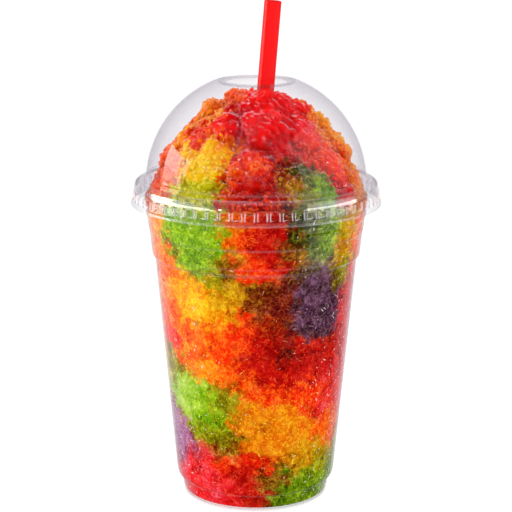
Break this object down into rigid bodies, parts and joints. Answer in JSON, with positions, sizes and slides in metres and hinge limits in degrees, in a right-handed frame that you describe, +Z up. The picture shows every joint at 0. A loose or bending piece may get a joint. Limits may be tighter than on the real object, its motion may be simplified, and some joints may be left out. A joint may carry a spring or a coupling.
{
  "type": "cup of slushie",
  "caption": "Clear plastic cup under a domed lid, filled with coloured crushed ice that stands up in a lumpy mound, with a straw through the lid's hole.",
  "frame": {"origin": "centre of the cup's foot, on the surface that it stands on", "axes": "+Z up along the cup's axis, towards the lid and the straw; -Y is the side that the picture shows, and the straw leans towards +X"},
  "size_m": [0.1042, 0.1042, 0.2087],
  "materials": {
    "cup_plastic": "clear, thin, formed plastic with a high gloss",
    "lid_plastic": "clear, thin, formed plastic with a high gloss",
    "coloured_ice": "wet crushed ice in red, orange, yellow, green and purple syrup",
    "straw_plastic": "smooth, glossy red"
  },
  "bodies": {
    "root": {"cup": "cup_plastic", "dome_lid": "lid_plastic", "slush": "coloured_ice", "straw": "straw_plastic"}
  },
  "joints": []
}
